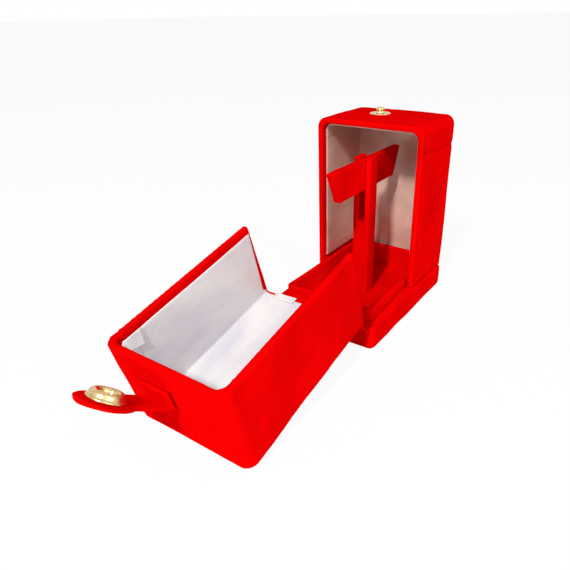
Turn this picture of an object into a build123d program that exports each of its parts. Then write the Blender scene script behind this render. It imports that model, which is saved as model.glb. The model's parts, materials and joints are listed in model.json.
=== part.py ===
from build123d import *
import math
import os

# Earring box with two doors: each half of the upper case swings down on its own hinge,
# and a T-shaped stand for a pair of earrings rises from the tray between them.
# Origin: middle of the base, on the table. +X towards the standing rear half, +Z up.
# All sizes are in millimetres.

# Closed box
box_depth = 80.0
box_width = 55.0
box_height = 91.0

# Base
pad_thickness = 0.8
base_height = 11.5
base_gable = 2.4
base_corner = 3.5
base_edge = 1.2
base_floor = 2.0
tray_end_inset = 4.7
tray_side_inset = 4.2
tray_corner = 3.0
lip_height = 18.0
lip_wall = 2.2
lip_edge = 0.8
tray_floor = 3.0
floor_pad_thickness = 0.7
floor_pad_gap = 0.3

# Upper case
case_inset = 0.4
rim_gap = 0.2
seat_gap = 0.3
case_wall = 2.7
velvet = 0.8
turn_in = 6.0
case_top_corner = 10.0
case_back_edge = 3.5

# Satin-covered lining cards
card = 0.8
card_setback = 3.0
card_corner = 4.5
side_card_bottom = 19.0
back_card_bottom = 14.0
tab_width = 11.0
tab_length = 4.5
tab_thickness = 0.5
tab_offset = 13.0
tab_overlap = 2.2

# Fabric hinges
hinge_reach = 5.5
hinge_height = 11.9
hinge_width = 50.0
hinge_cloth = 1.1
hinge_pleat = 1.7
hinge_air = 0.45

# Earring stand
post_depth = 8.0
post_width = 8.6
post_height = 76.0
post_edge = 0.8
tenon = 2.2
slot_width = 3.6
slot_bottom = 44.0
slot_round = 1.7
bar_thickness = 3.2
bar_top_length = 65.6
bar_bottom_length = 52.0
bar_bottom = 60.8
bar_height = 14.2
bar_edge = 0.5

# Strap and press stud
strap_line = 5.0
strap_width = 14.0
strap_thickness = 1.4
strap_air = 0.3
strap_slit = 10.25
neck_length = 8.25
socket_reach = 24.0
tongue_start = 2.7
tongue_end_radius = 9.3
tongue_lean = 39.5
root_depth = 1.2
root_air = 0.2
socket_diameter = 12.3
socket_height = 3.0
socket_flange = 1.0
socket_lip = 9.6
socket_bore = 5.8
cap_diameter = 12.0
cap_height = 1.3
cap_ring = 10.6
cap_ring_height = 0.7
cap_crown = 7.2
cap_crown_height = 1.15
stud_flange = 10.0
stud_flange_height = 0.7
stud_neck = 4.0
stud_knob = 4.9
stud_height = 3.3
knob_widest = 2.3
knob_top = 3.4
stud_post = 2.6
washer_diameter = 9.0
washer_thickness = 0.6
washer_gap = 0.3

# How far apart two edges may be and still count as lying in one place
same_place = 0.01

# Worked out from the sizes above
half_depth = box_depth / 2
half_width = box_width / 2
case_half_width = half_width - case_inset
tray_half_depth = half_depth - tray_end_inset
tray_half_width = half_width - tray_side_inset
cavity_depth = half_depth - case_wall
cavity_half_width = case_half_width - case_wall
cavity_top = box_height - case_wall
card_inside = cavity_depth - card
arch_start = box_height - case_top_corner
hinge_x = half_depth + hinge_reach
tray_underside = pad_thickness + base_floor
floor_level = tray_underside + tray_floor
strap_middle = box_height + strap_air + strap_thickness / 2
stud_x = neck_length + socket_reach - strap_slit
bend_x = strap_slit + neck_length

# A half that lies open turns until the round of its back edge touches the table
pivot_to_round_x = hinge_reach + case_back_edge
pivot_to_round_z = box_height - case_back_edge - hinge_height
pivot_to_round = math.hypot(pivot_to_round_x, pivot_to_round_z)
open_angle = math.degrees(
    math.atan2(pivot_to_round_x, pivot_to_round_z)
    + math.acos((case_back_edge - hinge_height) / pivot_to_round)
)
print("open angle", round(open_angle, 3), "degrees")

front_hinge_line = Axis((-hinge_x, 0, hinge_height), (0, 1, 0))


def lay_open(solid):
    """Mirror a piece of the upper case to the front and swing it down onto the table."""
    front = mirror(solid, about=Plane.YZ)
    return front.rotate(front_hinge_line, -open_angle)


def save(solid, name):
    """Label one piece and write it to its own file."""
    solid.label = name
    export_step(solid, f"parts/{name}.step")


def case_outline(inset, start):
    """Front view of one half of the upper case, drawn in by inset, standing at x = start."""
    width = 2 * (case_half_width - inset)
    top = box_height - inset
    with BuildSketch(Plane.YZ.offset(start)) as outline:
        Rectangle(width, top, align=(Align.CENTER, Align.MIN))
        corners = outline.vertices().group_by(Axis.Z)[-1]
        fillet(corners, case_top_corner - inset)
    return outline.sketch


def below_case():
    """Wedge of space under the upper case, whose top follows the slope of the base's shoulder."""
    low = base_height + seat_gap
    high = low + base_gable
    with BuildSketch(Plane.XZ) as wedge:
        with BuildLine():
            Polyline((0, 0), (half_depth, 0), (half_depth, low), (0, high), close=True)
        make_face()
    with BuildPart() as space:
        extrude(wedge.sketch, amount=box_width, both=True)
    return space.part


def back_edges(part, depth):
    """Edges round the back face at the given depth, without the one at the bottom."""
    face_edges = part.edges().filter_by_position(Axis.X, depth - same_place, depth + same_place)
    return face_edges.sort_by(Axis.Z)[1:]


def case_block(inset, start, depth, radius):
    """Solid block of one half case, rounded at the back, before it is hollowed."""
    with BuildPart() as block:
        extrude(case_outline(inset, start), amount=depth - start)
        fillet(back_edges(block, depth), radius)
    return block.part


def case_board():
    """Rigid board inside one half of the upper case."""
    start = rim_gap + velvet
    with BuildPart() as board:
        add(case_block(velvet, start, half_depth - velvet, case_back_edge - velvet))
        extrude(case_outline(case_wall - velvet, start), amount=turn_in, mode=Mode.SUBTRACT)
        add(
            case_block(case_wall, rim_gap, cavity_depth, case_back_edge - case_wall),
            mode=Mode.SUBTRACT,
        )
        add(below_case(), mode=Mode.SUBTRACT)
    return board.part


half_board = case_board()


def case_cover():
    """Velvet over the board of one half: outside, round the rim and turned in behind it."""
    with BuildPart() as cover:
        add(case_block(0, rim_gap, half_depth, case_back_edge))
        add(
            case_block(case_wall, rim_gap, cavity_depth, case_back_edge - case_wall),
            mode=Mode.SUBTRACT,
        )
        add(below_case(), mode=Mode.SUBTRACT)
        add(half_board, mode=Mode.SUBTRACT)
    return cover.part


def bent_outline(inset):
    """Plan of the space inside the bent lining card, drawn in by inset, at its lower edge."""
    start = rim_gap + card_setback
    with BuildSketch(Plane.XY.offset(back_card_bottom)) as bend:
        with Locations((start, 0)):
            Rectangle(
                cavity_depth - inset - start,
                2 * (cavity_half_width - inset),
                align=(Align.MIN, Align.CENTER),
            )
        fillet(bend.vertices().group_by(Axis.X)[-1], card_corner - inset)
    return bend.sketch


def lining_wrap():
    """Card bent round the sides and back of one half, its side panels cut higher than its back."""
    height = cavity_top - card - back_card_bottom
    with BuildPart() as wrap:
        extrude(bent_outline(0), amount=height)
        extrude(bent_outline(card), amount=height, mode=Mode.SUBTRACT)
        with BuildSketch(Plane.XZ) as side_cut:
            with Locations((0, back_card_bottom)):
                Rectangle(
                    cavity_depth - card_corner,
                    side_card_bottom - back_card_bottom,
                    align=(Align.MIN, Align.MIN),
                )
        extrude(amount=half_width, both=True, mode=Mode.SUBTRACT)
        with BuildSketch(Plane.YZ) as above_arch:
            with Locations((0, arch_start)):
                Rectangle(box_width, case_top_corner, align=(Align.CENTER, Align.MIN))
            add(case_outline(case_wall + card, 0), mode=Mode.SUBTRACT)
        extrude(amount=half_depth, mode=Mode.SUBTRACT)
    return wrap.part


def lining_arch():
    """Card that follows the arch under the top of one half."""
    start = rim_gap + card_setback
    with BuildPart() as arch:
        extrude(case_outline(case_wall, start), amount=card_inside - start)
        extrude(
            case_outline(case_wall + card, start),
            amount=card_inside - start,
            mode=Mode.SUBTRACT,
        )
        with BuildSketch(Plane.XY) as lower:
            Rectangle(2 * box_depth, 2 * box_width)
        extrude(amount=arch_start, mode=Mode.SUBTRACT)
    return arch.part


half_cover = case_cover()


def lining_tab():
    """Satin pull tab glued behind the lower edge of the back card."""
    with BuildPart() as tab:
        with BuildSketch(Plane.YZ.offset(card_inside - tab_thickness)) as blade:
            with Locations((tab_offset, back_card_bottom - tab_overlap)):
                Rectangle(tab_width, tab_length, align=(Align.CENTER, Align.MIN))
        extrude(amount=tab_thickness)
    return tab.part


os.makedirs("parts", exist_ok=True)

# Pad glued under the base
with BuildPart() as bottom_pad:
    with BuildSketch():
        RectangleRounded(
            box_depth - 2 * base_edge, box_width - 2 * base_edge, base_corner - base_edge
        )
    extrude(amount=pad_thickness)
save(bottom_pad.part, "bottom_pad")

# Base shell: low walls with a gently gabled shoulder round the space for the tray
with BuildPart() as base_shell:
    with BuildSketch(Plane.XY.offset(pad_thickness)):
        RectangleRounded(box_depth, box_width, base_corner)
    extrude(amount=base_height + base_gable - pad_thickness)
    with BuildSketch(Plane.XZ) as gable:
        with BuildLine():
            Polyline(
                (-half_depth, base_height),
                (0, base_height + base_gable),
                (half_depth, base_height),
                (half_depth, box_height),
                (-half_depth, box_height),
                close=True,
            )
        make_face()
    extrude(amount=box_width, both=True, mode=Mode.SUBTRACT)
    chamfer(base_shell.faces().sort_by(Axis.Z)[0].edges(), base_edge / 2)
    shoulder = base_shell.edges().filter_by(lambda edge: edge.bounding_box().min.Z > base_height - same_place)
    ridge = shoulder.filter_by_position(Axis.X, -same_place, same_place)
    fillet([edge for edge in shoulder if edge not in ridge], base_edge)
    with BuildSketch(Plane.XY.offset(tray_underside)):
        RectangleRounded(2 * tray_half_depth, 2 * tray_half_width, tray_corner)
    extrude(amount=box_height, mode=Mode.SUBTRACT)
save(base_shell.part, "base_shell")

# Velvet-covered tray: its wall stands above the shoulder as a lip that the cases close over
with BuildPart() as inner_tray:
    with BuildSketch(Plane.XY.offset(tray_underside)):
        RectangleRounded(2 * tray_half_depth, 2 * tray_half_width, tray_corner)
    extrude(amount=lip_height - tray_underside)
    with BuildSketch(Plane.XY.offset(floor_level)):
        RectangleRounded(
            2 * (tray_half_depth - lip_wall), 2 * (tray_half_width - lip_wall), tray_corner - lip_wall
        )
    extrude(amount=lip_height, mode=Mode.SUBTRACT)
    fillet(inner_tray.faces().sort_by(Axis.Z)[-1].edges(), lip_edge)
    with BuildSketch(Plane.XY.offset(floor_level - tenon)):
        Rectangle(post_depth, post_width)
    extrude(amount=tenon, mode=Mode.SUBTRACT)
save(inner_tray.part, "inner_tray")

# Velvet-covered card on the floor of the tray, cut out for the post
with BuildPart() as floor_pad:
    with BuildSketch(Plane.XY.offset(floor_level)):
        RectangleRounded(
            2 * (tray_half_depth - lip_wall - floor_pad_gap),
            2 * (tray_half_width - lip_wall - floor_pad_gap),
            tray_corner - lip_wall - floor_pad_gap,
        )
        Rectangle(post_depth, post_width, mode=Mode.SUBTRACT)
    extrude(amount=floor_pad_thickness)
save(floor_pad.part, "floor_pad")

# Post of the earring stand, slotted from the top to take the crossbar
with BuildPart() as stand_post:
    with BuildSketch(Plane.XY.offset(floor_level - tenon)):
        Rectangle(post_depth, post_width)
    extrude(amount=post_height - floor_level + tenon)
    fillet(stand_post.edges().filter_by(Axis.Z), post_edge)
    fillet(stand_post.faces().sort_by(Axis.Z)[-1].edges(), post_edge / 2)
    with BuildSketch(Plane.YZ) as slot:
        with Locations((0, slot_bottom)):
            Rectangle(slot_width, post_height, align=(Align.CENTER, Align.MIN))
        fillet(slot.vertices().group_by(Axis.Z)[0], slot_round)
    extrude(amount=post_depth, both=True, mode=Mode.SUBTRACT)
save(stand_post.part, "stand_post")

# Crossbar: a thin plate, longer at the top, dropped into the slot of the post
with BuildPart() as crossbar:
    with BuildSketch(Plane.XZ.offset(-bar_thickness / 2)):
        with BuildLine():
            Polyline(
                (-bar_bottom_length / 2, bar_bottom),
                (bar_bottom_length / 2, bar_bottom),
                (bar_top_length / 2, bar_bottom + bar_height),
                (-bar_top_length / 2, bar_bottom + bar_height),
                close=True,
            )
        make_face()
    extrude(amount=bar_thickness)
    fillet(crossbar.edges().filter_by(Axis.Y), bar_edge)
save(crossbar.part, "crossbar")

# Rear half, standing closed
with BuildPart() as rear_case_cover:
    add(half_cover)
    with BuildSketch(Plane.XY.offset(box_height - stud_height)):
        with Locations((stud_x, strap_line)):
            Circle(stud_post / 2)
    extrude(amount=stud_height, mode=Mode.SUBTRACT)
with BuildPart() as rear_case_board:
    add(half_board)
    with BuildSketch(Plane.XY.offset(cavity_top - stud_height)):
        with Locations((stud_x, strap_line)):
            Circle(stud_post / 2)
    extrude(amount=2 * stud_height, mode=Mode.SUBTRACT)
save(rear_case_cover.part, "rear_case_cover")
save(rear_case_board.part, "rear_case_board")
save(lining_wrap(), "rear_lining_wrap")
with BuildPart() as rear_lining_arch:
    add(lining_arch())
    with BuildSketch(Plane.XY.offset(cavity_top - card)):
        with Locations((stud_x, strap_line)):
            Circle(washer_diameter / 2)
    extrude(amount=card, mode=Mode.SUBTRACT)
save(rear_lining_arch.part, "rear_lining_arch")

# Press stud on top of the rear half: flange, waist and knob on one post
with BuildPart() as snap_stud:
    with BuildSketch(Plane.XZ.offset(-strap_line)) as half_stud:
        with BuildLine():
            Polyline(
                (0, cavity_top - washer_thickness),
                (stud_post / 2, cavity_top - washer_thickness),
                (stud_post / 2, box_height),
                (stud_flange / 2, box_height),
                (stud_flange / 2, box_height + stud_flange_height / 2),
                (stud_neck / 2, box_height + stud_flange_height),
                (stud_neck / 2, box_height + stud_height / 2),
                (stud_knob / 2, box_height + knob_widest),
                (knob_top / 2, box_height + stud_height),
                (0, box_height + stud_height),
                close=True,
            )
        make_face()
    revolve(axis=Axis((0, strap_line, 0), (0, 0, 1)))
save(snap_stud.part.translate((stud_x, 0, 0)), "snap_stud")

# Washer that the stud is clenched against, set into the lining card
with BuildPart() as stud_washer:
    with BuildSketch(Plane.XY.offset(cavity_top - washer_thickness)):
        with Locations((stud_x, strap_line)):
            Circle(washer_diameter / 2 - washer_gap)
            Circle(stud_post / 2, mode=Mode.SUBTRACT)
    extrude(amount=washer_thickness)
save(stud_washer.part, "stud_washer")

# Front half, lying open: the same case, with a slit for the strap in its end wall
with BuildPart() as slit_case:
    add(half_cover)
    with BuildSketch(Plane.XY.offset(box_height - root_depth)):
        with Locations((strap_slit, strap_line)):
            Rectangle(strap_thickness + 2 * root_air, strap_width + 2 * root_air)
    extrude(amount=root_depth, mode=Mode.SUBTRACT)
with BuildPart() as slit_board:
    add(half_board)
    with BuildSketch(Plane.XY.offset(box_height - root_depth)):
        with Locations((strap_slit, strap_line)):
            Rectangle(strap_thickness + 2 * root_air, strap_width + 2 * root_air)
    extrude(amount=root_depth, mode=Mode.SUBTRACT)
save(lay_open(slit_case.part), "front_case_cover")
save(lay_open(slit_board.part), "front_case_board")
save(lay_open(lining_wrap()), "front_lining_wrap")
save(lay_open(lining_arch()), "front_lining_arch")
save(lay_open(lining_tab()), "front_lining_tab")

# End of the strap that is glued into the slit
with BuildPart() as strap_root:
    with BuildSketch(Plane.XY.offset(box_height - root_depth)):
        with Locations((strap_slit, strap_line)):
            Rectangle(strap_thickness, strap_width)
    extrude(amount=root_depth)
save(lay_open(strap_root.part), "strap_root")

# Neck of the strap: folds at the slit and lies against the case while the box is open
with BuildPart() as strap_neck:
    with BuildSketch(Plane.XZ.offset(-strap_line)) as neck_side:
        with Locations((strap_slit + neck_length / 2, strap_middle)):
            SlotCenterToCenter(neck_length, strap_thickness)
    extrude(amount=strap_width / 2, both=True)
save(lay_open(strap_neck.part), "strap_neck")


def lean(solid):
    """Turn a piece that is drawn flat along the strap to the lean of the curled tongue."""
    bend_line = Axis((bend_x, 0, strap_middle), (0, 1, 0))
    return solid.rotate(bend_line, tongue_lean)


# Tongue: the free end of the strap, round at its tip, carrying the socket
with BuildPart() as strap_tongue:
    with BuildSketch(Plane.XY.offset(strap_middle - strap_thickness / 2)):
        with Locations((bend_x - tongue_start, strap_line)):
            Rectangle(
                socket_reach - tongue_start, strap_width, align=(Align.MAX, Align.CENTER)
            )
        with Locations((bend_x - socket_reach, strap_line)):
            Circle(tongue_end_radius)
            Circle(stud_post / 2, mode=Mode.SUBTRACT)
    extrude(amount=strap_thickness)
save(lay_open(lean(strap_tongue.part)), "strap_tongue")

# Socket of the press stud: a rolled ring on the inner side of the tongue
inner_side = strap_middle - strap_thickness / 2
with BuildPart() as snap_socket:
    with BuildSketch(Plane.XZ.offset(-strap_line)):
        with BuildLine():
            Polyline(
                (socket_bore / 2, inner_side),
                (socket_diameter / 2, inner_side),
                (socket_diameter / 2, inner_side - socket_flange),
                (socket_lip / 2, inner_side - socket_height),
                (socket_bore / 2, inner_side - socket_height),
                close=True,
            )
        make_face()
    revolve(axis=Axis((0, strap_line, 0), (0, 0, 1)))
socket_place = (bend_x - socket_reach, 0, 0)
save(lay_open(lean(snap_socket.part.translate(socket_place))), "snap_socket")

# Cap that holds the socket from the outer side of the tongue
outer_side = strap_middle + strap_thickness / 2
with BuildPart() as snap_cap:
    with BuildSketch(Plane.XZ.offset(-strap_line)):
        with BuildLine():
            Polyline(
                (0, outer_side),
                (cap_diameter / 2, outer_side),
                (cap_ring / 2, outer_side + cap_ring_height),
                (cap_crown / 2, outer_side + cap_crown_height),
                (0, outer_side + cap_height),
                close=True,
            )
        make_face()
    revolve(axis=Axis((0, strap_line, 0), (0, 0, 1)))
save(lay_open(lean(snap_cap.part.translate(socket_place))), "snap_cap")

# Front hinge: a stiff velvet strip from the base's edge up to the edge of the open half
strip_low = base_height - base_edge - hinge_cloth
strip_reach = hinge_reach - hinge_air
strip_rise = math.radians(open_angle - 90)
strip_end_x = -hinge_x - strip_reach * math.sin(strip_rise)
strip_end_z = hinge_height + strip_reach * math.cos(strip_rise)
with BuildPart() as front_hinge_strip:
    with BuildSketch(Plane.XZ) as strip_side:
        with BuildLine():
            Polyline(
                (-half_depth, strip_low),
                (-half_depth, strip_low + hinge_cloth),
                (strip_end_x, strip_end_z),
                (strip_end_x + hinge_cloth / 2, strip_end_z - hinge_cloth),
                close=True,
            )
        make_face()
    extrude(amount=hinge_width / 2, both=True)
save(front_hinge_strip.part, "front_hinge_strip")

# Rear hinge: the same strip folded into a small pleat behind the closed seam
with BuildPart() as rear_hinge_strip:
    with BuildSketch(Plane.XZ) as pleat_side:
        with BuildLine():
            Line((half_depth, strip_low), (half_depth, base_height - base_edge))
            ThreePointArc(
                (half_depth, base_height - base_edge),
                (half_depth + hinge_pleat, base_height - base_edge - hinge_cloth / 2),
                (half_depth, strip_low),
            )
        make_face()
    extrude(amount=hinge_width / 2, both=True)
save(rear_hinge_strip.part, "rear_hinge_strip")
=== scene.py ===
import bpy
import bmesh
import json
import math
import numpy as np
from mathutils import Matrix, Vector, noise

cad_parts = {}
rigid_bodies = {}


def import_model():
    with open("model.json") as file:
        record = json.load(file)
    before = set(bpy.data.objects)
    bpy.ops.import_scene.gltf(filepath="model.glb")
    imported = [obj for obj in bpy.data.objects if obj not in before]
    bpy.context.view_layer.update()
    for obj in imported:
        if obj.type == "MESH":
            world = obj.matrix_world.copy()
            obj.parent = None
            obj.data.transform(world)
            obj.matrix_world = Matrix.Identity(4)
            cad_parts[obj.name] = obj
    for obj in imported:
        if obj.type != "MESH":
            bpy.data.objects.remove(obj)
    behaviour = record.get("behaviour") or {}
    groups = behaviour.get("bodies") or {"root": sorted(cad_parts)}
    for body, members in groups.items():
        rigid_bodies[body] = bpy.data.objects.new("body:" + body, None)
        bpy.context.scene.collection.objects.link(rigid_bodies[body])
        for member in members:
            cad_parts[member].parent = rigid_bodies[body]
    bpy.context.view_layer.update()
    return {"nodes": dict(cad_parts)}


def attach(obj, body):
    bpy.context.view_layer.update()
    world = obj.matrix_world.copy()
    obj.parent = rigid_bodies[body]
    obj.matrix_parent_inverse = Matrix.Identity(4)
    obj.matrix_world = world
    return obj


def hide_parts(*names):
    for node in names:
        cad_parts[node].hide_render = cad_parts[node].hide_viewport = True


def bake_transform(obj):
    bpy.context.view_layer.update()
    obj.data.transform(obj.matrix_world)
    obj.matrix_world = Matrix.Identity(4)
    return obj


for left_over in list(bpy.data.objects):
    bpy.data.objects.remove(left_over)
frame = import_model()
MM = 0.001

# Sizes of the box in millimetres, as in the solids
BOX_HEIGHT = 91.0
CASE_DEPTH = 40.0
CASE_HALF_WIDTH = 27.1
CASE_WALL = 2.7
CASE_CORNER = 10.0
HINGE_X = 45.5
HINGE_Z = 11.9
OPEN_TURN = math.radians(103.1234)
STRAP_LINE = 5.0


# Places: both halves are drawn as the closed rear half, and the front one is then laid open

def laid_open(point):
    """A place in the closed rear half, carried to the front half as it lies open."""
    x, y, z = -point[0], point[1], point[2]
    across, up = x + HINGE_X, z - HINGE_Z
    turn_cos, turn_sin = math.cos(OPEN_TURN), math.sin(OPEN_TURN)
    return (
        -HINGE_X + across * turn_cos - up * turn_sin,
        y,
        HINGE_Z + across * turn_sin + up * turn_cos,
    )


def stood_up(point):
    """The reverse of laid_open."""
    x, y, z = point
    across, up = x + HINGE_X, z - HINGE_Z
    turn_cos, turn_sin = math.cos(OPEN_TURN), math.sin(OPEN_TURN)
    return (
        HINGE_X - across * turn_cos - up * turn_sin,
        y,
        HINGE_Z - across * turn_sin + up * turn_cos,
    )


def as_drawn(point):
    """A place that stays where it is drawn, for the base and the rear half."""
    return point


# Materials

def new_material(name):
    """A new material, with its nodes, its links, its shader and the place on the object."""
    made = bpy.data.materials.new(name)
    made.use_nodes = True
    nodes, links = made.node_tree.nodes, made.node_tree.links
    shader = nodes["Principled BSDF"]
    place = nodes.new("ShaderNodeTexCoord")
    return made, nodes, links, shader, place.outputs["Object"]


def set_inputs(shader, values):
    for name, value in values.items():
        shader.inputs[name].default_value = value


def grain(nodes, links, place, scale, detail, stretch=(1, 1, 1)):
    """Noise over the object, stretched along its axes."""
    turn = nodes.new("ShaderNodeMapping")
    turn.inputs["Scale"].default_value = stretch
    links.new(place, turn.inputs["Vector"])
    pattern = nodes.new("ShaderNodeTexNoise")
    pattern.inputs["Scale"].default_value = scale
    pattern.inputs["Detail"].default_value = detail
    links.new(turn.outputs["Vector"], pattern.inputs["Vector"])
    return pattern.outputs["Fac"]


def ramp(nodes, links, factor, stops):
    """Colours along a factor, from stops of (position, colour)."""
    made = nodes.new("ShaderNodeValToRGB")
    ends = made.color_ramp.elements
    ends[0].position, ends[0].color = stops[0]
    ends[1].position, ends[1].color = stops[-1]
    for where, colour in stops[1:-1]:
        ends.new(where).color = colour
    links.new(factor, made.inputs["Fac"])
    return made.outputs["Color"]


def bump(nodes, links, height, strength, distance, under=None):
    """Relief from a height, on top of the relief under it."""
    made = nodes.new("ShaderNodeBump")
    made.inputs["Strength"].default_value = strength
    made.inputs["Distance"].default_value = distance
    links.new(height, made.inputs["Height"])
    if under is not None:
        links.new(under, made.inputs["Normal"])
    return made.outputs["Normal"]


def red_velvet():
    """Short red pile: cloudy brushed patches, a fine pile grain and a soft red sheen at the edges."""
    made, nodes, links, shader, place = new_material("red_velvet")
    brushed = grain(nodes, links, place, scale=55, detail=3, stretch=(1, 1, 0.6))
    colour = ramp(nodes, links, brushed, [
        (0.30, (0.64, 0.0004, 0.0005, 1)),
        (0.55, (0.76, 0.0005, 0.0008, 1)),
        (0.75, (0.86, 0.0008, 0.0012, 1)),
    ])
    pile = grain(nodes, links, place, scale=2600, detail=2)
    fleck = ramp(nodes, links, pile, [
        (0.25, (0.86, 0.86, 0.86, 1)),
        (0.70, (1, 1, 1, 1)),
    ])
    mixed = nodes.new("ShaderNodeMix")
    mixed.data_type = "RGBA"
    mixed.blend_type = "MULTIPLY"
    mixed.inputs["Factor"].default_value = 1
    links.new(colour, mixed.inputs["A"])
    links.new(fleck, mixed.inputs["B"])
    links.new(mixed.outputs["Result"], shader.inputs["Base Color"])
    soft = bump(nodes, links, brushed, strength=0.35, distance=0.0006)
    rough = bump(nodes, links, pile, strength=0.45, distance=0.0002, under=soft)
    links.new(rough, shader.inputs["Normal"])
    set_inputs(shader, {
        "Roughness": 1.0,
        "Specular IOR Level": 0.0,
        "Sheen Weight": 0.22,
        "Sheen Roughness": 0.45,
        "Sheen Tint": (1.0, 0.002, 0.003, 1),
    })
    return made


def satin(name, dark, middle, light):
    """Satin with fine lengthwise threads and long soft ripples, painted in three tones along the ripples
    as painted shade and painted sheen.
    """
    made, nodes, links, shader, place = new_material(name)
    ripple = grain(nodes, links, place, scale=70, detail=3, stretch=(0.35, 1, 1))
    # Painted shade and sheen: the colour runs from the dark tone to the light tone along the same ripples
    # that make the folds.
    colour = ramp(nodes, links, ripple, [
        (0.32, dark),
        (0.50, middle),
        (0.70, light),
    ])
    links.new(colour, shader.inputs["Base Color"])
    threads = grain(nodes, links, place, scale=1100, detail=3, stretch=(0.25, 1, 1))
    folds = bump(nodes, links, ripple, strength=0.40, distance=0.0014)
    weave = bump(nodes, links, threads, strength=0.55, distance=0.0002, under=folds)
    links.new(weave, shader.inputs["Normal"])
    set_inputs(shader, {
        "Roughness": 0.30,
        "Specular IOR Level": 0.75,
        "Anisotropic": 0.45,
        "Sheen Weight": 0.25,
        "Sheen Roughness": 0.3,
    })
    return made


def gilt_brass():
    """Gold-coloured pressed brass with faint scuffs."""
    made, nodes, links, shader, place = new_material("gilt_brass")
    scuff = grain(nodes, links, place, scale=900, detail=4, stretch=(1, 1, 3))
    colour = ramp(nodes, links, scuff, [
        (0.3, (0.50, 0.35, 0.14, 1)),
        (0.6, (0.74, 0.56, 0.28, 1)),
    ])
    links.new(colour, shader.inputs["Base Color"])
    shine = ramp(nodes, links, scuff, [
        (0.3, (0.34, 0.34, 0.34, 1)),
        (0.7, (0.18, 0.18, 0.18, 1)),
    ])
    links.new(shine, shader.inputs["Roughness"])
    relief = bump(nodes, links, scuff, strength=0.12, distance=0.00005)
    links.new(relief, shader.inputs["Normal"])
    set_inputs(shader, {"Metallic": 1.0})
    return made


VELVET = red_velvet()
WHITE_SATIN = satin("white_satin", (0.62, 0.60, 0.66, 1), (0.74, 0.71, 0.72, 1), (0.84, 0.81, 0.80, 1))
# The rear half's satin is the white satin painted darker and warmer: painted shade inside the standing
# half and painted red light bounced off its velvet.
SHADED_BOUNCE_SATIN = satin("shaded_bounce_satin", (0.50, 0.34, 0.27, 1), (0.62, 0.43, 0.34, 1), (0.72, 0.52, 0.42, 1))
BRASS = gilt_brass()


# Mesh helpers

WELD_GAP = 0.01
SEED_SPREAD = 0.37
EASE_FACTOR = 0.5

# Near the rim of a half, points stay still up to RIM_STILL and move freely from RIM_FREE on
RIM_STILL = (1.0, 0, 50.0)
RIM_FREE = (7.0, 0, 50.0)


def grid_faces(columns, rows, first=0):
    """Faces of a grid whose points are listed column by column."""
    faces = []
    for column in range(columns - 1):
        for row in range(rows - 1):
            a = first + column * rows + row
            faces.append((a, a + rows, a + rows + 1, a + 1))
    return faces


def plain(name, verts, faces, material, place=as_drawn, merge=0.0):
    """A piece from points in millimetres, its faces turned outwards and shaded smooth."""
    mesh = bpy.data.meshes.new(name)
    mesh.from_pydata([Vector(place(p)) * MM for p in verts], [], faces)
    shape = bmesh.new()
    shape.from_mesh(mesh)
    if merge:
        bmesh.ops.remove_doubles(shape, verts=shape.verts, dist=merge * MM)
    bmesh.ops.recalc_face_normals(shape, faces=shape.faces)
    for face in shape.faces:
        face.smooth = True
    shape.to_mesh(mesh)
    shape.free()
    mesh.materials.append(material)
    piece = bpy.data.objects.new(name, mesh)
    bpy.context.scene.collection.objects.link(piece)
    return piece


def thicken(piece, thickness):
    """Give a surface a thickness in millimetres, half to each side."""
    thick = piece.modifiers.new("thickness", "SOLIDIFY")
    thick.thickness = thickness * MM
    thick.offset = 0


def ease_edges(piece, width):
    """Round the sharp edges off, by a width in millimetres."""
    soft = piece.modifiers.new("edge", "BEVEL")
    soft.width = width * MM
    soft.segments = 2
    soft.limit_method = "ANGLE"


def finished(piece):
    """Apply the piece's modifiers and leave a plain mesh."""
    view = bpy.context.evaluated_depsgraph_get()
    made = bpy.data.meshes.new_from_object(piece.evaluated_get(view))
    piece.modifiers.clear()
    old = piece.data
    piece.data = made
    made.name = piece.name
    bpy.data.meshes.remove(old)


def waves(place, size, shift=(0, 0, 0)):
    """Smooth noise at a place, with waves of a size in each direction."""
    return noise.noise(Vector([p / s for p, s in zip(place, size)]) + Vector(shift))


def points_of(piece):
    """Points and normals of a piece, as arrays."""
    count = len(piece.data.vertices)
    points, normals = np.empty(count * 3), np.empty(count * 3)
    piece.data.vertices.foreach_get("co", points)
    piece.data.vertices.foreach_get("normal", normals)
    return points.reshape(-1, 3), normals.reshape(-1, 3)


def push(piece, points, normals, amounts):
    """Move each point along its normal, by an amount in millimetres."""
    moved = points + normals * (np.asarray(amounts) * MM)[:, None]
    piece.data.vertices.foreach_set("co", moved.ravel())
    piece.data.update()


def uneven(piece, size, amount, seed, rim=None):
    """Small hand-glued unevenness: each point moves along its normal by smooth noise.

    With a rim, which is the way that half of the case is placed, the moves fade out towards it.
    """
    points, normals = points_of(piece)
    spots = points / (size * MM) + np.array((seed, seed * SEED_SPREAD, -seed))
    moves = np.array([amount * noise.noise(spot) for spot in spots.tolist()])
    if rim is not None:
        start, ahead = np.array(rim(RIM_STILL)), np.array(rim(RIM_FREE))
        run = ahead - start
        moves *= np.clip((points / MM - start) @ run / (run @ run), 0, 1)
    push(piece, points, normals, moves)


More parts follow.
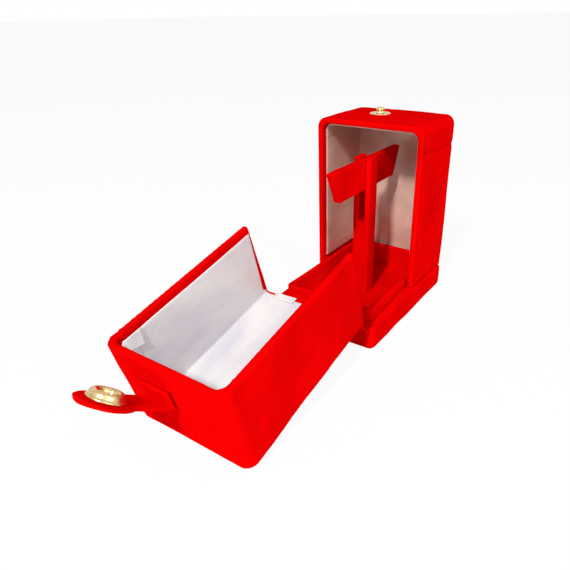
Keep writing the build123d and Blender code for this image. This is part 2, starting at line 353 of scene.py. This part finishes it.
def padded_copy(name, nodes, voxel, rounds):
    """Velvet laid over the solids of some nodes: their edges become soft and a little full."""
    shape = bmesh.new()
    for node in nodes:
        shape.from_mesh(frame["nodes"][node].data)
    bmesh.ops.remove_doubles(shape, verts=shape.verts, dist=WELD_GAP * MM)
    mesh = bpy.data.meshes.new(name)
    shape.to_mesh(mesh)
    shape.free()
    mesh.materials.clear()
    mesh.materials.append(VELVET)
    piece = bpy.data.objects.new(name, mesh)
    bpy.context.scene.collection.objects.link(piece)
    skin = piece.modifiers.new("skin", "REMESH")
    skin.mode = "VOXEL"
    skin.voxel_size = voxel * MM
    skin.use_smooth_shade = True
    ease = piece.modifiers.new("ease", "SMOOTH")
    ease.factor = EASE_FACTOR
    ease.iterations = rounds
    finished(piece)
    return piece


def place_piece(piece, body, slot, *nodes):
    """Put the piece on the body that it rides on and hide the nodes that it stands in for. The slot is not
    used.
    """
    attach(piece, body)
    if nodes:
        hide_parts(*nodes)


# Camera at the photograph's angle. Its place and sensor are in millimetres, its turns in degrees,
# its nearest view in metres, and its focal length and axis in pixels of the photograph

PHOTO_SIDE = 570
CAMERA_PLACE = (-212.571, -113.332, 134.945)
CAMERA_AZIMUTH = -55.943
CAMERA_ELEVATION = 28.213
CAMERA_ROLL = 0.947
CAMERA_NEAR = 0.01
FOCAL_LENGTH = 517.49
AXIS_ACROSS = 314.31
AXIS_DOWN = 289.31
SENSOR_WIDTH = 36


def look():
    eye = Vector(CAMERA_PLACE) * MM
    azimuth, elevation = math.radians(CAMERA_AZIMUTH), math.radians(CAMERA_ELEVATION)
    roll = math.radians(CAMERA_ROLL)
    back = Vector((
        math.sin(azimuth) * math.cos(elevation),
        -math.cos(azimuth) * math.cos(elevation),
        math.sin(elevation),
    ))
    right = Vector((0, 0, 1)).cross(back).normalized()
    up = back.cross(right)
    side = right * math.cos(roll) - up * math.sin(roll)
    rise = back.cross(side)
    turn = Matrix((side, rise, back)).transposed()
    data = bpy.data.cameras.new("camera")
    data.sensor_width = SENSOR_WIDTH
    data.lens = FOCAL_LENGTH / PHOTO_SIDE * SENSOR_WIDTH
    data.shift_x = -(AXIS_ACROSS - PHOTO_SIDE / 2) / PHOTO_SIDE
    data.shift_y = (AXIS_DOWN - PHOTO_SIDE / 2) / PHOTO_SIDE
    data.clip_start = CAMERA_NEAR
    camera = bpy.data.objects.new("camera", data)
    camera.matrix_world = Matrix.Translation(eye) @ turn.to_4x4()
    bpy.context.scene.collection.objects.link(camera)
    bpy.context.scene.camera = camera


look()


# Velvet of the two halves

TIGHT_CORNER = 4.5
CREASE_DEPTH = 0.45
CREASE_WIDTH = 1.0
CREASE_FADE = 0.35


def tightened(point):
    """Draw the case's round top corners out to the tighter corners of its velvet."""
    x, y, z = point
    a, b = abs(y) - (CASE_HALF_WIDTH - CASE_CORNER), z - (BOX_HEIGHT - CASE_CORNER)
    if a <= 0 or b <= 0:
        return point
    way = math.hypot(a, b)
    c, s = a / way, b / way
    square = CASE_CORNER - TIGHT_CORNER
    if CASE_CORNER * min(c, s) / max(c, s) <= square:
        edge = CASE_CORNER / max(c, s)
    else:
        middle = square * (c + s)
        edge = middle + math.sqrt(middle * middle - 2 * square * square + TIGHT_CORNER * TIGHT_CORNER)
    grow = edge / CASE_CORNER
    return (
        x,
        math.copysign(CASE_HALF_WIDTH - CASE_CORNER + a * grow, y),
        BOX_HEIGHT - CASE_CORNER + b * grow,
    )


def tighten(piece, place=as_drawn, back=as_drawn):
    """Give a case half its tighter corners, wherever it lies."""
    for vertex in piece.data.vertices:
        drawn = tightened(back(tuple(vertex.co / MM)))
        vertex.co = Vector(place(drawn)) * MM
    piece.data.update()


def crease(piece, start, end):
    """Press a soft crease into the velvet from start to end, shallower towards both."""
    points, normals = points_of(piece)
    a, b = np.array(start) * MM, np.array(end) * MM
    run = b - a
    t = (points - a) @ run / (run @ run)
    away = np.linalg.norm(points - a - t[:, None] * run, axis=1) / (CREASE_WIDTH * MM)
    ends = np.clip(1 - np.clip(abs(t - 0.5) - CREASE_FADE, 0, None) / CREASE_FADE, 0, 1)
    push(piece, points, normals, -CREASE_DEPTH * np.exp(-away * away) * ends)


rear_solids = ("rear_case_cover", "rear_case_board")
rear_shell = padded_copy("rear_case_velvet", rear_solids, voxel=0.62, rounds=3)
tighten(rear_shell)
uneven(rear_shell, size=21, amount=0.35, seed=3, rim=as_drawn)
uneven(rear_shell, size=6, amount=0.10, seed=5, rim=as_drawn)
crease_line = [(1.2, -27, 79.3), (19.1, -27, 77.0), (40, -27, 77.3)]
for start, end in zip(crease_line, crease_line[1:]):
    crease(rear_shell, start, end)
place_piece(rear_shell, "rear_case", "velvet", *rear_solids)

front_solids = ("front_case_cover", "front_case_board")
front_shell = padded_copy("front_case_velvet", front_solids, voxel=0.62, rounds=3)
tighten(front_shell, laid_open, stood_up)
uneven(front_shell, size=21, amount=0.40, seed=11, rim=laid_open)
uneven(front_shell, size=6, amount=0.10, seed=13, rim=laid_open)
place_piece(front_shell, "front_case", "velvet", *front_solids)


# Velvet of the base

def base_velvet(name, node, voxel, rounds, **unevenness):
    """Velvet over one solid of the base."""
    piece = padded_copy(name, [node], voxel, rounds)
    if unevenness:
        uneven(piece, **unevenness)
    place_piece(piece, "base", "velvet", node)


base_velvet("base_velvet", "base_shell", voxel=0.55, rounds=3, size=15, amount=0.22, seed=17)
base_velvet("tray_velvet", "inner_tray", voxel=0.45, rounds=3, size=12, amount=0.18, seed=19)
base_velvet("post_velvet", "stand_post", voxel=0.35, rounds=3, size=9, amount=0.15, seed=23)
base_velvet("crossbar_velvet", "crossbar", voxel=0.3, rounds=3, size=9, amount=0.15, seed=29)
base_velvet("floor_pad_velvet", "floor_pad", voxel=0.32, rounds=2)
base_velvet("bottom_pad_velvet", "bottom_pad", voxel=0.36, rounds=2)


# Satin linings: LINING_START is at the rim, LINING_X at the back and LINING_Y at the sides

LINING_START = 3.2
LINING_X = CASE_DEPTH - CASE_WALL
LINING_Y = CASE_HALF_WIDTH - CASE_WALL
LINING_CORNER = 2.2
LINING_BACK_LOW = 14.0
CARD = 0.8
SATIN_SHARE = 0.8
LINING_EDGE = 0.25

# Looseness of the satin: it lies flat up to LOOSE_FROM, and is loose LOOSE_OVER higher up
LOOSE_FROM = 18
LOOSE_OVER = 5
LOOSE_LEAST = 0.1
LOOSE_LIFT = 0.25
LOOSE_WAVE = 0.22
LOOSE_WAVE_SIZE = (9, 9, 26)
LOOSE_RIPPLE = 0.08
LOOSE_RIPPLE_SIZE = (3, 3, 11)
LOOSE_FOLD = 0.25
ARCH_LIFT = 0.22
ARCH_WAVE = 0.2
ARCH_WAVE_SIZE = (14, 7, 7)

# Points along each stretch of the linings
SIDE_STEPS = 24
BEND_STEPS = 10
BACK_STEPS = 28
LINING_ROWS = 60
ARCH_BEND_STEPS = 12
ARCH_FLAT_STEPS = 24
ARCH_ROWS = 30


def bend_path():
    """Plan of the bent card, from one rim round the back to the other: x, y and share of the fold."""
    straight = LINING_X - LINING_CORNER - LINING_START
    flat = LINING_Y - LINING_CORNER
    points = []
    for k in range(SIDE_STEPS + 1):
        points.append((LINING_START + straight * k / SIDE_STEPS, -LINING_Y, 0.0))
    for k in range(1, BEND_STEPS + 1):
        a = math.radians(90 * k / BEND_STEPS)
        points.append((
            LINING_X - LINING_CORNER + LINING_CORNER * math.sin(a),
            -LINING_Y + LINING_CORNER * (1 - math.cos(a)),
            math.sin(2 * a),
        ))
    near_side = list(points)
    for k in range(1, BACK_STEPS):
        points.append((LINING_X, -flat + 2 * flat * k / BACK_STEPS, 0.0))
    points += [(x, -y, fold) for x, y, fold in reversed(near_side)]
    return points


def bent_lining(name, place, seed, body, node, material, side_low):
    """Satin over a bent card: loose and rippled above the tray, fuller at its folds."""
    path = bend_path()
    reach = CASE_CORNER - CASE_WALL - CARD
    verts = []
    for k, (x, y, fold) in enumerate(path):
        low = side_low if x < LINING_X - LINING_CORNER else LINING_BACK_LOW
        drop = max(0.0, abs(y) - (CASE_HALF_WIDTH - CASE_CORNER))
        arch = reach - math.sqrt(max(0.0, reach * reach - min(drop, reach) ** 2))
        high = BOX_HEIGHT - CASE_WALL - CARD - min(arch, reach)
        before = path[max(0, k - 1)]
        after = path[min(len(path) - 1, k + 1)]
        along = Vector((after[0] - before[0], after[1] - before[1], 0)).normalized()
        inward = Vector((-along.y, along.x, 0))
        for r in range(LINING_ROWS):
            z = low + (high - low) * r / (LINING_ROWS - 1)
            wave = waves((x, y, z), LOOSE_WAVE_SIZE, (seed, 0, 0))
            fine = waves((x, y, z), LOOSE_RIPPLE_SIZE, (0, seed, 0))
            loose = min(1.0, max(LOOSE_LEAST, (z - LOOSE_FROM) / LOOSE_OVER))
            full = LOOSE_LIFT + LOOSE_WAVE * wave + LOOSE_RIPPLE * fine + LOOSE_FOLD * fold * wave
            spot = Vector((x, y, z)) + inward * (CARD * 0.5 + loose * full)
            verts.append(tightened(tuple(spot)))
    piece = plain(name, verts, grid_faces(len(path), LINING_ROWS), material, place)
    thicken(piece, CARD * SATIN_SHARE)
    ease_edges(piece, LINING_EDGE)
    finished(piece)
    place_piece(piece, body, "satin", node)


def arch_outline():
    """Section of the arch under the top: y, z and the direction outwards in y and z."""
    top = BOX_HEIGHT - CASE_WALL
    corner = CASE_CORNER - CASE_WALL
    flat = LINING_Y - corner
    outline = []
    for k in range(ARCH_BEND_STEPS + 1):
        a = math.radians(90 * k / ARCH_BEND_STEPS)
        out_y, out_z = -math.cos(a), math.sin(a)
        outline.append((-LINING_Y + corner * (1 + out_y), top - corner * (1 - out_z), out_y, out_z))
    near_side = list(outline)
    for k in range(1, ARCH_FLAT_STEPS):
        outline.append((-flat + 2 * flat * k / ARCH_FLAT_STEPS, top, 0.0, 1.0))
    outline += [(-y, z, -out_y, out_z) for y, z, out_y, out_z in reversed(near_side)]
    return outline


def arch_lining(name, place, seed, body, node, material):
    """Satin over the card that follows the arch under the top of one half."""
    outline = arch_outline()
    verts = []
    for y, z, out_y, out_z in outline:
        for r in range(ARCH_ROWS):
            x = LINING_START + (LINING_X - CARD - LINING_START) * r / (ARCH_ROWS - 1)
            wave = waves((x, y, z), ARCH_WAVE_SIZE, (seed, 0, 0))
            lift = CARD * 0.5 + ARCH_LIFT + ARCH_WAVE * wave
            verts.append(tightened((x, y - out_y * lift, z - out_z * lift)))
    piece = plain(name, verts, grid_faces(len(outline), ARCH_ROWS), material, place)
    thicken(piece, CARD * SATIN_SHARE)
    finished(piece)
    place_piece(piece, body, "satin", node)


bent_lining("rear_lining", as_drawn, 31, "rear_case", "rear_lining_wrap", SHADED_BOUNCE_SATIN, side_low=19.0)
bent_lining("front_lining", laid_open, 37, "front_case", "front_lining_wrap", WHITE_SATIN, side_low=15.6)
arch_lining("rear_top_lining", as_drawn, 41, "rear_case", "rear_lining_arch", SHADED_BOUNCE_SATIN)
arch_lining("front_top_lining", laid_open, 43, "front_case", "front_lining_arch", WHITE_SATIN)


# Loose ends of the front half's satin

FLAP_STEPS = 12
FLAP_WAVE = 0.12
FLAP_TURN_ALONG = 5
FLAP_TURN_OUT = 2
FLAP_THICKNESS = 0.3


def satin_flap(name, corners, curl, *nodes):
    """A small loose end of satin, lifted and curled a little towards its free edge."""
    a, b, c, d = [Vector(p) for p in corners]
    lift = (b - a).cross(d - a).normalized()
    verts = []
    for i in range(FLAP_STEPS + 1):
        for j in range(FLAP_STEPS + 1):
            u, v = i / FLAP_STEPS, j / FLAP_STEPS
            spot = a.lerp(b, u).lerp(d.lerp(c, u), v)
            wave = curl * v * v + FLAP_WAVE * math.sin(FLAP_TURN_ALONG * u + FLAP_TURN_OUT * v)
            verts.append(tuple(spot + lift * wave))
    faces = grid_faces(FLAP_STEPS + 1, FLAP_STEPS + 1)
    piece = plain(name, verts, faces, WHITE_SATIN, laid_open)
    thicken(piece, FLAP_THICKNESS)
    finished(piece)
    place_piece(piece, "front_case", "satin", *nodes)


satin_flap(
    "front_satin_tab",
    [(36.2, 7.5, 16.2), (36.2, 18.5, 16.2), (36.2, 18.5, 12.3), (36.2, 7.5, 12.3)],
    -0.1, "front_lining_tab",
)
satin_flap(
    "front_corner_flap",
    [(2.6, 23.4, 86), (2.6, 23.0, 78), (9.5, 22.9, 79), (7.0, 22.9, 87.0)],
    0.5,
)


# Strap: one velvet ribbon in three parts, so that it can fold at the slit and curl at the neck

STRAP_HEIGHT = 92.0
STRAP_HALF_WIDTH = 7.0
STRAP_THICKNESS = 1.5
STRAP_FULLNESS = 8
STRAP_RIPPLE = 0.10
STRAP_RIPPLE_LENGTH = 4
STRAP_RIPPLE_TURN = 2
STRAP_WELD = 0.01
STRAP_ACROSS = 16
NECK_START = 10.05
NECK_LENGTH = 8.6
NECK_STEPS = 14
BEND_X = 18.5
LEAN = math.radians(39.5)
SOCKET_REACH = 24.0
TIP_RADIUS = 9.3
TONGUE_SIDE_STEPS = 10
TIP_STEPS = 18


def on_tongue(point):
    """A place on the flat ribbon beyond the bend, leaned out as the tongue stands when open."""
    along, y, height = point
    rise = height - STRAP_HEIGHT
    x = BEND_X - along * math.cos(LEAN) + rise * math.sin(LEAN)
    z = STRAP_HEIGHT + along * math.sin(LEAN) + rise * math.cos(LEAN)
    return laid_open((x, y, z))


def tongue_outline():
    """Half outline of the ribbon's free end, from the bend to the round tip: way along, half width."""
    start = SOCKET_REACH - math.sqrt(TIP_RADIUS * TIP_RADIUS - STRAP_HALF_WIDTH * STRAP_HALF_WIDTH)
    points = [(start * k / TONGUE_SIDE_STEPS, STRAP_HALF_WIDTH) for k in range(TONGUE_SIDE_STEPS + 1)]
    first = math.asin(STRAP_HALF_WIDTH / TIP_RADIUS)
    for k in range(1, TIP_STEPS + 1):
        a = first + (math.pi - first) * k / TIP_STEPS
        points.append((SOCKET_REACH - TIP_RADIUS * math.cos(a), TIP_RADIUS * math.sin(a)))
    return points


def ribbon(name, rows, place, seed):
    """A puffed ribbon from rows of (way along, half width)."""
    verts = []
    for side in (1, -1):
        for along, half in rows:
            for k in range(STRAP_ACROSS + 1):
                t = -1 + 2 * k / STRAP_ACROSS
                full = STRAP_THICKNESS / 2 * (1 - abs(t) ** STRAP_FULLNESS) ** 0.5
                spot = Vector((along / STRAP_RIPPLE_LENGTH, t * STRAP_RIPPLE_TURN, seed))
                ripple = STRAP_RIPPLE * noise.noise(spot)
                verts.append((along, STRAP_LINE + t * half, STRAP_HEIGHT + side * full + ripple))
    count = len(rows) * (STRAP_ACROSS + 1)
    faces = grid_faces(len(rows), STRAP_ACROSS + 1)
    faces += grid_faces(len(rows), STRAP_ACROSS + 1, first=count)
    for end in (0, len(rows) - 1):
        for k in range(STRAP_ACROSS):
            a = end * (STRAP_ACROSS + 1) + k
            faces.append((a, a + 1, a + 1 + count, a + count))
    return plain(name, verts, faces, VELVET, place, merge=STRAP_WELD)


root = padded_copy("strap_root_velvet", ["strap_root"], voxel=0.2, rounds=2)
place_piece(root, "front_case", "velvet", "strap_root")

neck_rows = [(NECK_START + NECK_LENGTH * k / NECK_STEPS, STRAP_HALF_WIDTH) for k in range(NECK_STEPS + 1)]
neck = ribbon("strap_neck_velvet", neck_rows, laid_open, seed=47)
place_piece(neck, "strap_neck", "velvet", "strap_neck")

tongue = ribbon("strap_tongue_velvet", tongue_outline(), on_tongue, seed=53)
place_piece(tongue, "strap_tongue", "velvet", "strap_tongue")


# Press stud: profiles of (radius, height), with the height from the face that the piece sits on

TURNED_SIDES = 64
ROUNDING_STEPS = 4
LARGEST_SHARE = 2.1
TURNED_WELD = 0.002
STUD_X = 22.0
FACE_OFF_MIDDLE = 0.7
STUD_PROFILE = [
    (0, -3.2), (1.3, -3.2), (1.3, -0.05), (5.0, -0.05), (5.0, 0.35), (3.6, 0.6), (3.0, 0.4),
    (2.1, 0.5), (1.8, 1.5), (2.3, 2.2), (1.8, 3.0), (0.7, 3.1), (0, 3.0),
]
SOCKET_PROFILE = [
    (2.7, 0), (6.15, 0), (6.15, -0.7), (5.6, -1.1), (5.3, -2.4), (4.6, -2.85), (3.7, -2.75),
    (3.1, -2.2), (2.85, -1.0), (2.7, 0),
]
CAP_PROFILE = [(0, 0), (6.0, 0), (5.9, 0.4), (5.2, 0.85), (3.6, 1.2), (0, 1.3)]


def rounded(profile, cut):
    """Round the corners of a profile, by no more than the cut or about half of a side."""
    made = [profile[0]]
    for before, here, after in zip(profile, profile[1:], profile[2:]):
        p, q, r = Vector(before), Vector(here), Vector(after)
        back, on = p - q, r - q
        size = min(cut, back.length / LARGEST_SHARE, on.length / LARGEST_SHARE)
        a, b = q + back.normalized() * size, q + on.normalized() * size
        for k in range(ROUNDING_STEPS + 1):
            t = k / ROUNDING_STEPS
            made.append(tuple(a.lerp(q, t).lerp(q.lerp(b, t), t)))
    made.append(profile[-1])
    return made


def turned(name, profile, base, cut, along, place):
    """A brass piece turned about the strap's line, its profile rounded and lifted to its base."""
    profile = rounded([(radius, base + height) for radius, height in profile], cut)
    verts, faces = [], []
    for i in range(TURNED_SIDES):
        a = 2 * math.pi * i / TURNED_SIDES
        for radius, height in profile:
            verts.append((along + radius * math.cos(a), STRAP_LINE + radius * math.sin(a), height))
    n = len(profile)
    for i in range(TURNED_SIDES):
        for k in range(n - 1):
            a, b = i * n + k, (i + 1) % TURNED_SIDES * n + k
            faces.append((a, b, b + 1, a + 1))
    return plain(name, verts, faces, BRASS, place, merge=TURNED_WELD)


stud = turned("stud_brass", STUD_PROFILE, BOX_HEIGHT, 0.35, STUD_X, as_drawn)
place_piece(stud, "rear_case", "brass", "snap_stud")

socket_base = STRAP_HEIGHT - FACE_OFF_MIDDLE
socket = turned("socket_brass", SOCKET_PROFILE, socket_base, 0.4, SOCKET_REACH, on_tongue)
place_piece(socket, "strap_tongue", "brass", "snap_socket")

cap_base = STRAP_HEIGHT + FACE_OFF_MIDDLE
cap = turned("cap_brass", CAP_PROFILE, cap_base, 0.3, SOCKET_REACH, on_tongue)
place_piece(cap, "strap_tongue", "brass", "snap_cap")

washer_materials = frame["nodes"]["stud_washer"].data.materials
washer_materials.clear()
washer_materials.append(BRASS)


# Hinge strips: velvet that crosses each hinge, along lines of (x, z) from the base to its half

STRIP_HALF_WIDTH = 25.0
STRIP_THICKNESS = 0.6
STRIP_SWAY = 0.25
STRIP_SWAY_LENGTH = 7
STRIP_SWAY_ROWS = 3
STRIP_ACROSS = 40
front_line = [
    (-39.0, 9.9), (-40.2, 10.1), (-41.1, 10.7), (-42.0, 11.7), (-42.9, 12.8), (-43.8, 13.9),
    (-44.7, 15.0), (-45.6, 16.1), (-46.3, 17.0), (-46.8, 17.8), (-47.1, 18.6), (-47.3, 19.2),
]
rear_line = [
    (39.3, 9.8), (40.2, 9.75), (41.0, 9.85), (41.5, 10.2), (41.6, 10.7),
    (41.4, 11.2), (40.9, 11.6), (40.2, 11.9), (39.6, 12.4),
]


def hinge_cloth(name, line, node, seed):
    """A velvet strip along a line, across its hinge."""
    verts = []
    for k in range(STRIP_ACROSS + 1):
        y = -STRIP_HALF_WIDTH + 2 * STRIP_HALF_WIDTH * k / STRIP_ACROSS
        for i, (x, z) in enumerate(line):
            sway = STRIP_SWAY * waves((y, i, seed), (STRIP_SWAY_LENGTH, STRIP_SWAY_ROWS, 1))
            verts.append((x, y, z + sway))
    piece = plain(name, verts, grid_faces(STRIP_ACROSS + 1, len(line)), VELVET)
    thicken(piece, STRIP_THICKNESS)
    finished(piece)
    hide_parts(node)
    return piece


front_strip = hinge_cloth("front_hinge_velvet", front_line, "front_hinge_strip", seed=9.0)
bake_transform(front_strip)

rear_strip = hinge_cloth("rear_hinge_velvet", rear_line, "rear_hinge_strip", seed=-9.0)
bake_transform(rear_strip)


# Floor, light and background, in metres and watts

FLOOR_REACH = 20
PAPER_TONE = 0.9
PAPER_GLOW = 0.93
SKY_LIGHT = 0.30
LAMPS_AIM = (-0.05, 0, 0.03)


def plainly_seen(nodes, links, path):
    """1 where the camera, a reflection or glass sees the background, and 0 where it lights the object."""
    total = path.outputs["Is Camera Ray"]
    for kind in ("Is Glossy Ray", "Is Transmission Ray"):
        both = nodes.new("ShaderNodeMath")
        both.operation = "MAXIMUM"
        links.new(total, both.inputs[0])
        links.new(path.outputs[kind], both.inputs[1])
        total = both.outputs[0]
    return total


def studio_paper():
    """White paper that mostly glows where it is plainly seen, so that it stays white and takes shadows."""
    paper = bpy.data.materials.new("studio_paper")
    paper.use_nodes = True
    nodes, links = paper.node_tree.nodes, paper.node_tree.links
    shader = nodes["Principled BSDF"]
    set_inputs(shader, {"Base Color": (PAPER_TONE, PAPER_TONE, PAPER_TONE, 1), "Roughness": 1})
    white = nodes.new("ShaderNodeEmission")
    white.inputs["Strength"].default_value = 1
    path = nodes.new("ShaderNodeLightPath")
    share = nodes.new("ShaderNodeMath")
    share.operation = "MULTIPLY"
    share.inputs[1].default_value = PAPER_GLOW
    links.new(plainly_seen(nodes, links, path), share.inputs[0])
    mixed = nodes.new("ShaderNodeMixShader")
    links.new(share.outputs[0], mixed.inputs["Fac"])
    links.new(shader.outputs[0], mixed.inputs[1])
    links.new(white.outputs[0], mixed.inputs[2])
    links.new(mixed.outputs[0], nodes["Material Output"].inputs["Surface"])
    return paper


def studio_floor():
    far = FLOOR_REACH
    mesh = bpy.data.meshes.new("studio_floor")
    mesh.from_pydata([(-far, -far, 0), (far, -far, 0), (far, far, 0), (-far, far, 0)], [], [(0, 1, 2, 3)])
    ground = bpy.data.objects.new("studio_floor", mesh)
    bpy.context.scene.collection.objects.link(ground)
    mesh.materials.append(studio_paper())


def studio_sky():
    """White where it is plainly seen, and dimmer where it lights the object."""
    world = bpy.data.worlds.new("studio")
    bpy.context.scene.world = world
    world.use_nodes = True
    nodes, links = world.node_tree.nodes, world.node_tree.links
    sky = nodes["Background"]
    sky.inputs["Color"].default_value = (1, 1, 1, 1)
    path = nodes.new("ShaderNodeLightPath")
    level = nodes.new("ShaderNodeMapRange")
    level.inputs["To Min"].default_value = SKY_LIGHT
    level.inputs["To Max"].default_value = 1.0
    links.new(plainly_seen(nodes, links, path), level.inputs["Value"])
    links.new(level.outputs["Result"], sky.inputs["Strength"])


def lamp(name, direction, distance, size, watts):
    """A square lamp in a direction from the box, turned towards it."""
    data = bpy.data.lights.new(name, "AREA")
    data.shape = "SQUARE"
    data.size = size
    data.energy = watts
    one = bpy.data.objects.new(name, data)
    way = Vector(direction).normalized()
    one.location = Vector(LAMPS_AIM) + way * distance
    one.rotation_euler = way.to_track_quat("Z", "Y").to_euler()
    bpy.context.scene.collection.objects.link(one)


studio_floor()
studio_sky()
lamp("key", (-0.68, -0.14, 0.70), distance=1.0, size=0.08, watts=9.0)
lamp("fill", (-0.15, -0.95, 0.55), distance=1.2, size=0.8, watts=6.0)
bpy.context.scene.view_settings.view_transform = "Standard"
